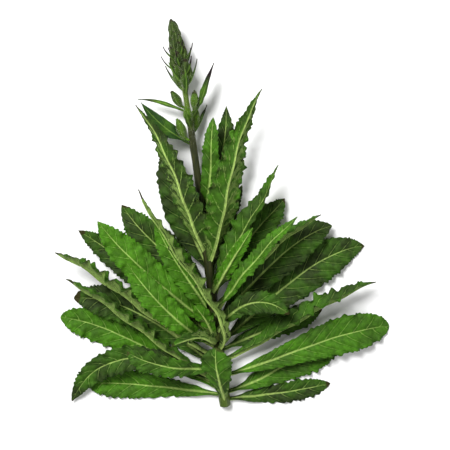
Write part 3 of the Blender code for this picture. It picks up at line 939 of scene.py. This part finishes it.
bract_triangles = [grow_bract(number, floret) for number, floret in enumerate(FLORETS, 1)]
print("bract triangles:", sum(bract_triangles))

# %% [markdown]
# ## The buds
#
# A closed foxglove bud is five sepals wrapped round the folded flower, on a short stalk. A ball could
# stand for it, but then its edges would be missing. So each sepal is its own thin shell, laid round a
# core. Every sepal covers its neighbour on one side and slips under it on the other, as they do.

# %% The line and the girth of a bud
BUD_GIRTH = ((0, 0.26), (0.16, 0.28), (0.28, 0.62), (0.45, 0.96), (0.6, 1.0), (0.8, 0.66), (1, 0.12))
BUD_START = 70  # the lean from the stem at which a bud's stalk leaves it, in degrees
BUD_BEND = 0.3


def read_rows(table, index):
    """Rows of a table of points, read between whole numbers of the index."""
    whole = np.arange(len(table))
    return np.stack([np.interp(index, whole, column) for column in table.T], -1)


def bud_line(foot, axis, out, length, spread, share):
    """Points up the middle of a bud. It leaves at 70 degrees and has turned to its spread at a share of
    0.3. The points are the running sum of short steps in those directions."""
    fine = np.linspace(0, 1, 120)
    lean = np.radians(BUD_START + (spread - BUD_START) * np.clip(fine / BUD_BEND, 0, 1))[:, None]
    steps = (np.cos(lean) * axis + np.sin(lean) * out) * length / (len(fine) - 1)
    points = foot + np.cumsum(steps, axis=0) - steps[0]
    return read_rows(points, share * (len(fine) - 1))


def bud_girth(share):
    """The radius of a bud of radius 1, as a smooth curve through its stations: a running mean rounds
    off the straight runs between them."""
    at, girth = np.array(BUD_GIRTH).T
    near = np.linspace(-0.06, 0.06, 7)
    return np.mean([np.interp(share + shift, at, girth) for shift in near], axis=0)


def across(line, axis):
    """Two directions square to a line of points, from the line's own steps."""
    direction = unit(np.gradient(line, axis=0))
    first = unit(np.cross(direction, np.cross(axis, direction) + 1e-6))
    return first, np.cross(direction, first)


print("radius of a bud of radius 1:", bud_girth(np.linspace(0, 1, 6)).round(2))


# %% The core and the sepals
SEPALS = 5
SEPAL_COLUMNS = 7
SEPAL_FOOT = 0.17
SEPAL_THICKNESS = 0.22 * MM
CORE_SLIM, SEPAL_SLIM = 0.9, 0.93


def bud_skins(foot, axis, out, length, bulk, spread, tint, seed, rows=14, sides=12):
    """The core with its stalk, and five sepals round it. Row i lies at the share i/(rows-1) of the
    length. A point is the bud's line there, plus a radius at an angle round it."""
    rng = np.random.default_rng(seed)
    share = np.linspace(0, 1, rows)[:, None]
    line = bud_line(foot, axis, out, length, spread, share[:, 0])
    first, second = across(line, out)

    def lay(share_at, radius, angle_at):
        """Points at a radius and an angle round the line."""
        index = share_at * (rows - 1)
        right, up = read_rows(first, index), read_rows(second, index)
        turned = np.cos(angle_at)[..., None] * right + np.sin(angle_at)[..., None] * up
        return read_rows(line, index) + radius[..., None] * turned

    def marked(rings, below, share_at, across_at, margin):
        """The skin of the rings with the marks that green tissue reads, on a blade with no coarse net."""
        plain = np.ones(rings.shape[:2])
        veins = stack(0.0, share_at * length, across_at + 0 * plain)
        marks = stack(margin, below, share_at)
        return ring_skin(rings, veins=veins, marks=marks, net=plain, tint=tint * plain)

    def core():
        """A tube in the shape of the bud, a little slimmer than it above the stalk."""
        angle = np.linspace(0, 2 * np.pi, sides, endpoint=False)[None, :]
        grid = np.broadcast_to(share, (rows, sides))
        radius = bud_girth(grid) * bulk / 2 * np.where(grid < 0.2, 1, CORE_SLIM)
        return marked(lay(grid, radius, angle + 0 * grid), 0 * grid, grid, 3 * MM, 0.5)

    def sepal(number):
        """A shell of two layers. Its width is a share of the turn that opens from the stalk and closes at
        the point. One edge is lifted and the other pressed down, so that each covers its neighbour."""
        b = np.linspace(-1, 1, SEPAL_COLUMNS)[None, :]
        share_at = SEPAL_FOOT + (rng.uniform(0.93, 1.0) - SEPAL_FOOT) * share + 0 * b
        opening = 0.45 + 0.55 * smooth(share, 0, 0.35)
        half_turn = 0.95 * (1 - share**2.6) ** 0.75 * opening + 0.04
        turn = 2 * np.pi * number / SEPALS + 0.35 * share + rng.uniform(-0.08, 0.08)
        radius = bud_girth(share_at) * bulk / 2 * SEPAL_SLIM
        lift = (0.16 + 0.13 * b + 0.1 * (1 - b**2) + rng.uniform(0.1, 0.5) * share**5) * MM
        outer = lay(share_at, radius + lift, turn + half_turn * b)
        inner = lay(share_at, radius + lift - SEPAL_THICKNESS, turn + half_turn * b)
        return marked(
            over_and_back(outer, inner),
            over_and_back(0 * share_at, 1 + 0 * share_at),
            over_and_back(share_at, share_at),
            over_and_back(radius * half_turn * b, radius * half_turn * b),
            over_and_back(abs(b) + 0 * share, abs(b) + 0 * share),
        )

    return [core()] + [sepal(number) for number in range(SEPALS)]


upright, sideways = np.array((0.0, 1.0, 0.0)), np.array((1.0, 0.0, 0.0))
sample_bud = join(bud_skins(0 * upright, upright, sideways, 16 * MM, 7 * MM, 12, 0.5, 0))
print("a bud has", triangle_count(sample_bud), "triangles")

# %% Grow the buds
BUD_RISE, BUD_INSET = 2.4 * MM, 0.2 * MM
BUD_SWELL, BUD_LONGER = 1.12, 0.8
FRESH_BUDS = 3


def grow_bud(number, floret):
    """One bud as a piece. It stands just above its bract, and the lowest three are the freshest."""
    centre, axis, out = stem_frame(floret.at * MM + BUD_RISE, floret.bearing)
    foot = centre + out * (stem_radius(floret.at * MM) - BUD_INSET)
    length, bulk = (floret.bud + BUD_LONGER) * MM, floret.bulk * BUD_SWELL * MM
    tint = 0.9 if number <= FRESH_BUDS else 0.45
    skin = join(bud_skins(foot, axis, out, length, bulk, floret.bud_spread, tint, 200 + number))
    make_piece(f"bud_calyx_{number:02}", skin, BUD, "bud", f"bud_{number:02}")
    return skin


bud_skins_made = [grow_bud(number, floret) for number, floret in enumerate(FLORETS, 1)]
print("bud triangles:", sum(triangle_count(skin) for skin in bud_skins_made))

# %% [markdown]
# ## The tip of the spike
#
# At the top the stem still makes new buds, packed in the same spiral. They are the same bud and bract,
# smaller and smaller, with coarser grids. The lowest carry a thread of a bract each. Together they
# stand for the one solid at the tip.

# %% Pack the youngest buds
TIP_BUDS = 26
TIP_BRACTS = 9
TIP_START = 284 * MM
TIP_REACH = 33.5 * MM


def tip_bract(foot, axis, out, up, seed):
    """A thread of a bract that stands off the buds and points up past them."""
    midrib = leaned_midrib(foot + out * 0.2 * MM, axis, out, (66 - 16 * up, 34, 18), (20 - 7 * up) * MM)
    inwards = leaning(axis, -out, 50)
    outline = lance((1.5 - 0.6 * up) * MM, 0.7 * MM, 0.8, 1.2)
    finish = Finish(tooth=0.0, ruffle=0.3, quilt=0.1, rib=0.5 * MM)
    return blade_skin(midrib, outline, turning(inwards, inwards, 1), 20, 0.1, seed, finish, 7)


def grow_tip():
    """Bud k stands at the share (k/n)^0.75 up the tip, 137.5 degrees round from bud k-1. On the way up
    the buds get smaller and lean in, until the last ones close the point."""
    buds, bracts = [], []
    for step in range(TIP_BUDS):
        up = step / (TIP_BUDS - 1)
        at = TIP_START + TIP_REACH * up**0.75
        centre, axis, out = stem_frame(at, spiral_bearing(SPIRAL_FLORETS + step))
        foot = centre + out * stem_radius(at) * (1 - 0.6 * up)
        length, bulk, spread = (14.5 - 3 * up) * MM, (6.4 - 1.6 * up) * MM, 14 - 20 * up
        skins = bud_skins(foot, axis, out, length, bulk, spread, 0.3, 300 + step, rows=9, sides=9)
        buds.append(join(skins))
        if step < TIP_BRACTS:
            bracts.append(tip_bract(foot, axis, out, up, 400 + step))
    return join(buds), join(bracts)


tip, tip_bracts = grow_tip()
make_piece("tip_buds", tip, YOUNG_BUD, "spike_tip", "spike_tip")
make_piece("tip_bracts", tip_bracts, BRACT, "spike_tip")
print("tip triangles:", triangle_count(tip) + triangle_count(tip_bracts))
print("tip reaches, mm:", round(1000 * tip.points[:, 1].max(), 1))

# %% [markdown]
# ## The stem
#
# The stem is a tube, but not a plain one. It has low ribs that run down from the leaves, a small
# cushion under each foot, and it was cut, so its end shows pale pith in a darker ring. In this young
# plant the middle of the stem is flushed a dark purple-brown. It is greener at the foot, and turns green
# again into the spike.

# %% The stem's ribs and cushions
LEAF_CUSHION, BUD_CUSHION = 0.9 * MM, 0.45 * MM
CUSHION_BELOW, CUSHION_ABOVE, CUSHION_ROUND = 9 * MM, 2.2 * MM, 0.55


def ribs(along, angle):
    """The factor on the radius: five low ribs that turn slowly one way, and eleven finer ones that turn
    the other way."""
    return 1 + 0.03 * np.cos(5 * angle + 14 * along) + 0.012 * np.cos(11 * angle - 30 * along)


def cushions(along, angle):
    """The highest of the swellings at the feet of leaves and buds. Each is a bell curve in the distance
    along the stem, longer below the foot, times one in the angle round the stem."""
    feet = [(leaf.at, leaf.bearing, LEAF_CUSHION) for leaf in LEAVES]
    feet += [(floret.at, floret.bearing, BUD_CUSHION) for floret in FLORETS]
    at, bearing, size = np.array(feet).T[:, :, None, None]
    gap = along - at * MM
    reach = np.where(gap < 0, CUSHION_BELOW, CUSHION_ABOVE)
    round_gap = (angle - np.radians(bearing) + np.pi) % (2 * np.pi) - np.pi
    bells = np.exp(-((gap / reach) ** 2)) * np.exp(-((round_gap / CUSHION_ROUND) ** 2))
    return (size * bells).max(axis=0)


whole_turn = np.linspace(0, 2 * np.pi, 60)[None, :]
swelling = cushions(np.linspace(0, STEM_LENGTH, 600)[:, None], whole_turn)
print("the highest cushion, mm:", round(1000 * swelling.max(), 2))


# %% The stem's skin
STEM_ROWS, STEM_SIDES = 360, 32
STEM_SHOWN = 0.975  # the share of the length above which the packed buds hide the stem
STEM_FLOOR_GAP = 0.02 * MM


def stem_skin():
    """Rings along the stem's curve, of the girth times the ribs plus the cushions, with the cut face in
    front of them."""
    along = np.linspace(0, STEM_LENGTH * STEM_SHOWN, STEM_ROWS)[:, None]
    angle = np.linspace(0, 2 * np.pi, STEM_SIDES, endpoint=False)[None, :]
    radius = stem_radius(along) * ribs(along, angle) + cushions(along, angle)

    share = along[:, 0] / STEM_LENGTH
    centre, axis = cubic(STEM_CURVE, share), cubic_direction(STEM_CURVE, share)
    right = unit(np.cross(axis, (0, 0, 1)))
    up = np.cross(right, axis)
    ring = np.cos(angle)[..., None] * right[:, None] + np.sin(angle)[..., None] * up[:, None]
    rings = centre[:, None] + radius[..., None] * ring

    # The cut face: four smaller rings, slightly dished.
    shares = np.array((0.06, 0.45, 0.8, 0.95))[:, None, None]
    dish = axis[0] * np.array((0.5, 0.4, 0.15, 0.0))[:, None, None] * MM
    face = centre[0] + (rings[0] - centre[0]) * shares + dish
    rings = np.concatenate([face, rings])
    rings[..., 2] = np.maximum(rings[..., 2], STEM_FLOOR_GAP)

    # The marks: the distance up the stem, and how near to the middle of the cut face a point lies.
    cut = np.concatenate([1 - shares[..., 0] * 0.6, 0 * along])
    height = np.concatenate([0 * shares[..., 0], along])
    return ring_skin(rings, stem=stack(height, cut, np.zeros(STEM_SIDES)))


stem = stem_skin()
print("stem triangles:", triangle_count(stem))

# %% The stem's finish
GREEN_FROM, GREEN_TO = 232 * MM, 258 * MM


def stem_material():
    """Dark purple-brown with fine streaks that run along the stem, green at the foot and towards the
    tip, and pale pith where it was cut."""
    material, graph, shader = new_material("stem", Specular_IOR_Level=0.25)
    height, cut, _ = graph.attribute("stem")
    place = graph.node("ShaderNodeTexCoord").outputs["Object"]
    stretched = graph.node("ShaderNodeMapping", {"Vector": place, "Scale": (1.0, 0.06, 1.0)}).outputs[0]
    streak = graph.noise(stretched, 1500.0, 3.0, 0.6)
    cloud = graph.noise(place, 60.0, 2.0)
    drifted = graph.math("ADD", height, graph.ramp(cloud, 0.3, 0.7, -8 * MM, 8 * MM))
    high_green = graph.ramp(drifted, GREEN_FROM, GREEN_TO)
    low_green = graph.ramp(height, 0.0, 100 * MM, 0.75, 0.15)
    lines = graph.ramp(streak, 0.35, 0.7)
    purple = graph.mix(lines, srgb(18, 15, 10), srgb(44, 36, 22))
    green = graph.mix(lines, srgb(62, 84, 22), srgb(92, 114, 40))
    colour = graph.mix(graph.math("MAXIMUM", high_green, low_green), purple, green)
    pith = graph.mix(graph.ramp(cut, 0.4, 0.9), srgb(120, 142, 78), srgb(206, 212, 170))
    colour = graph.mix(graph.ramp(cut, 0.25, 0.45), colour, pith)
    graph.fill(shader.inputs["Base Color"], colour)
    graph.fill(shader.inputs["Roughness"], graph.ramp(streak, 0.3, 0.7, 0.55, 0.4))
    bump = graph.node("ShaderNodeBump", {"Height": streak, "Distance": 0.2 * MM, "Strength": 0.5})
    graph.fill(shader.inputs["Normal"], bump.outputs[0])
    return material


make_piece("stem_skin", stem, stem_material(), "stem", "stem")
print("the stem is green from", round(1000 * GREEN_FROM), "mm up")

# %% [markdown]
# ## Down
#
# Young buds and the top of the stem are covered with short soft hairs, which catch the light along
# every edge. A hair is too thin for anything but a tiny spike: a triangle at the root and one point.


# %% Scatter the hairs
HAIR_CORNERS = np.radians((0, 120, 240))
HAIR_FACES = ((0, 1, 3), (1, 2, 3), (2, 0, 3), (2, 1, 0))


def hair_skin(skin, count, length, width, seed):
    """Spikes with their roots spread over a skin's quads, evenly by area. Each leans a little from the
    surface's own direction."""
    rng = np.random.default_rng(seed)
    corner = skin.points[skin.quads]
    normal = np.cross(corner[:, 2] - corner[:, 0], corner[:, 3] - corner[:, 1])
    area = np.linalg.norm(normal, axis=1)
    chosen = rng.choice(len(area), count, p=area / area.sum())
    a, b = rng.uniform(0, 1, (2, count, 1))
    first, second, third, fourth = corner[chosen].transpose(1, 0, 2)
    root = (first * (1 - a) + second * a) * (1 - b) + (fourth * (1 - a) + third * a) * b
    grow = unit(unit(normal[chosen]) + rng.normal(0, 0.35, (count, 3)))
    side = unit(np.cross(grow, (0.3, 0.5, 0.8)))
    other = np.cross(grow, side)
    angle = HAIR_CORNERS[None, :, None]
    ring = root[:, None] + width * (np.cos(angle) * side[:, None] + np.sin(angle) * other[:, None])
    point = root + grow * length * rng.uniform(0.5, 1.1, (count, 1))
    points = np.concatenate([ring, point[:, None]], axis=1).reshape(-1, 3)
    tris = 4 * np.arange(count)[:, None, None] + np.array(HAIR_FACES)
    return Skin(points, np.zeros((0, 4), int), tris.reshape(-1, 3), {})


def hair_material():
    """Pale and a little uneven, with a sheen."""
    material, graph, shader = new_material("down", Roughness=0.6, Sheen_Weight=0.3)
    place = graph.node("ShaderNodeTexCoord").outputs["Object"]
    colour = graph.mix(graph.noise(place, 300.0), srgb(190, 200, 160), srgb(225, 228, 205))
    graph.fill(shader.inputs["Base Color"], colour)
    return material


DOWN = hair_material()
HAIRY_FROM = 225  # mm up the stem
hairy = stem.points[stem.quads[:, 0], 1] > in_frame((0, HAIRY_FROM, 0))[1]
bud_hair = hair_skin(join(bud_skins_made), 9000, 0.9 * MM, 0.035 * MM, 7)
tip_hair = hair_skin(tip, 5000, 0.8 * MM, 0.035 * MM, 8)
stem_hair = hair_skin(stem._replace(quads=stem.quads[hairy]), 2500, 0.7 * MM, 0.03 * MM, 9)
make_piece("bud_down", bud_hair, DOWN, "bud")
make_piece("tip_down", tip_hair, DOWN, "spike_tip")
make_piece("stem_down", stem_hair, DOWN, "stem")
print("hairs:", sum(len(skin.tris) // 4 for skin in (bud_hair, tip_hair, stem_hair)))

# %% [markdown]
# ## Floor, light and camera
#
# The spike lies on a plain pale surface. A soft lamp above it, on the left and towards the tip, gives
# the leaves their shape. A weak broad lamp opposite and a dim white sky fill the shadows. The camera
# looks down on the spike, a little from its tip, with a long lens so that near leaves don't swell.


# %% The floor
FLOOR_SIDE = 6.0


def floor_material():
    """A matt white with clouds so faint that they only keep it from looking printed."""
    material, graph, shader = new_material("floor", Roughness=0.7, Specular_IOR_Level=0.2)
    place = graph.node("ShaderNodeTexCoord").outputs["Object"]
    tone = graph.ramp(graph.noise(place, 3.0), 0.3, 0.7, 0.99, 1.0)
    graph.fill(shader.inputs["Base Color"], graph.scaled((0.86, 0.86, 0.86), tone))
    return material


floor_mesh = bpy.data.meshes.new("floor")
corners = np.array([(-1, -1, 0), (1, -1, 0), (1, 1, 0), (-1, 1, 0)]) * FLOOR_SIDE / 2
floor_mesh.from_pydata(corners.tolist(), [], [(0, 1, 2, 3)])
floor_mesh.materials.append(floor_material())
floor = bpy.data.objects.new("floor", floor_mesh)
bpy.context.scene.collection.objects.link(floor)
floor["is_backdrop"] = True
print("floor:", FLOOR_SIDE, "m a side")


# %% The lamps and the sky
def soft_lamp(name, place, size, power, aim=(0.0, 0.0, 0.0)):
    """A square lamp that faces a point."""
    light = bpy.data.lights.new(name, "AREA")
    light.size = size
    light.energy = power
    lamp = bpy.data.objects.new(name, light)
    bpy.context.scene.collection.objects.link(lamp)
    lamp.location = place
    back = unit(np.subtract(place, aim))
    lamp.rotation_euler = (math.acos(back[2]), 0, math.atan2(back[1], back[0]) + math.pi / 2)
    return lamp


soft_lamp("key", (-0.5, 0.8, 1.2), 0.5, 36)
soft_lamp("fill", (0.9, -0.5, 1.0), 1.2, 6)
SKY_STRENGTH = 0.29
world = bpy.data.worlds.new("sky")
world.use_nodes = True
sky = world.node_tree.nodes["Background"]
sky.inputs["Color"].default_value = (1, 1, 1, 1)
sky.inputs["Strength"].default_value = SKY_STRENGTH
bpy.context.scene.world = world
bpy.context.scene.view_settings.view_transform = "Standard"
print("lamps:", [thing.name for thing in bpy.data.objects if thing.type == "LIGHT"])

# %% The camera
LENS = 85.0
TILT = 12.0  # how far the camera leans from straight down, in degrees
FILL = 0.9  # the share of the frame's height that the spike takes up
low, high = (np.array(corner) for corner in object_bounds())
middle = (low + high) / 2
camera_data = bpy.data.cameras.new("camera")
camera_data.lens = LENS
camera = bpy.data.objects.new("camera", camera_data)
bpy.context.scene.collection.objects.link(camera)
field = 2 * math.atan(camera_data.sensor_width / 2 / LENS)
distance = (high[1] - low[1]) / FILL / 2 / math.tan(field / 2)
tilt = math.radians(TILT)
camera.location = middle + distance * np.array((0, math.sin(tilt), math.cos(tilt)))
camera.rotation_euler = (-tilt, 0, 0)
bpy.context.scene.camera = camera
print("camera stands", round(distance, 2), "m away")
